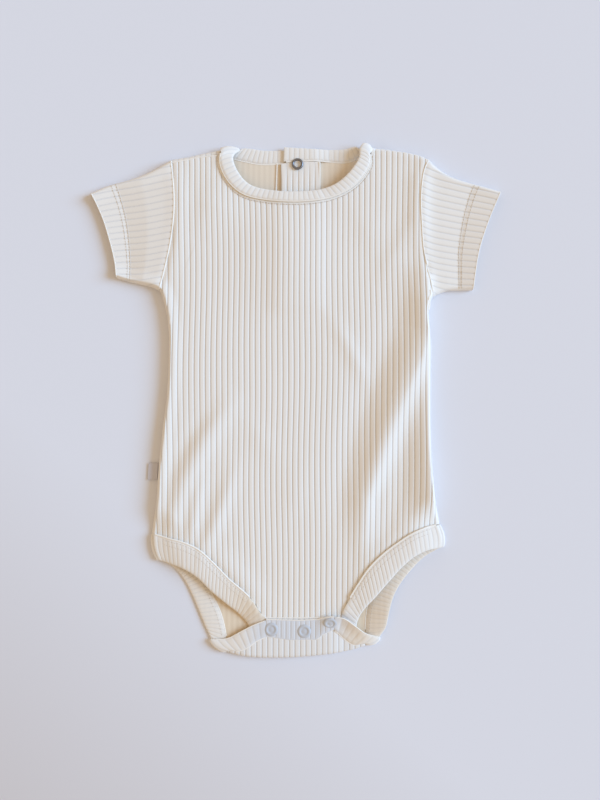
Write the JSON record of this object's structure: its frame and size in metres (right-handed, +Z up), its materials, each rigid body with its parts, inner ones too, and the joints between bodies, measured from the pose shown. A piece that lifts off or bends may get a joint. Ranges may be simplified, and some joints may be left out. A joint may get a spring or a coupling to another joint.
{
  "type": "baby bodysuit",
  "caption": "Short-sleeved ribbed baby bodysuit laid flat, front up, with a round banded neck, banded leg openings and a snapped crotch flap.",
  "frame": {"origin": "on the surface it lies on, under the middle of its outline", "axes": "+Y to the neck, +X to the right as the front is seen, +Z up out of the front"},
  "size_m": [0.3342, 0.4222, 0.0111],
  "materials": {
    "rib_knit": "soft matte rib knit",
    "band_knit": "soft matte rib knit, folded double",
    "dark_snap": "satin dark metal",
    "pale_snap": "satin, coloured like the cloth",
    "tab_cloth": "smooth woven tape"
  },
  "bodies": {
    "root": {"front_panel": "rib_knit", "back_panel": "rib_knit", "sleeve_left": "rib_knit", "sleeve_right": "rib_knit", "neckband": "band_knit", "leg_band_left": "band_knit", "leg_band_right": "band_knit", "back_placket_right": "band_knit", "back_placket_left": "band_knit", "crotch_placket_back": "band_knit", "crotch_placket_front": "band_knit", "snap_ring_neck": "dark_snap", "snap_ring_crotch_1": "pale_snap", "snap_ring_crotch_2": "pale_snap", "snap_ring_crotch_3": "pale_snap", "side_label": "tab_cloth"}
  },
  "joints": []
}
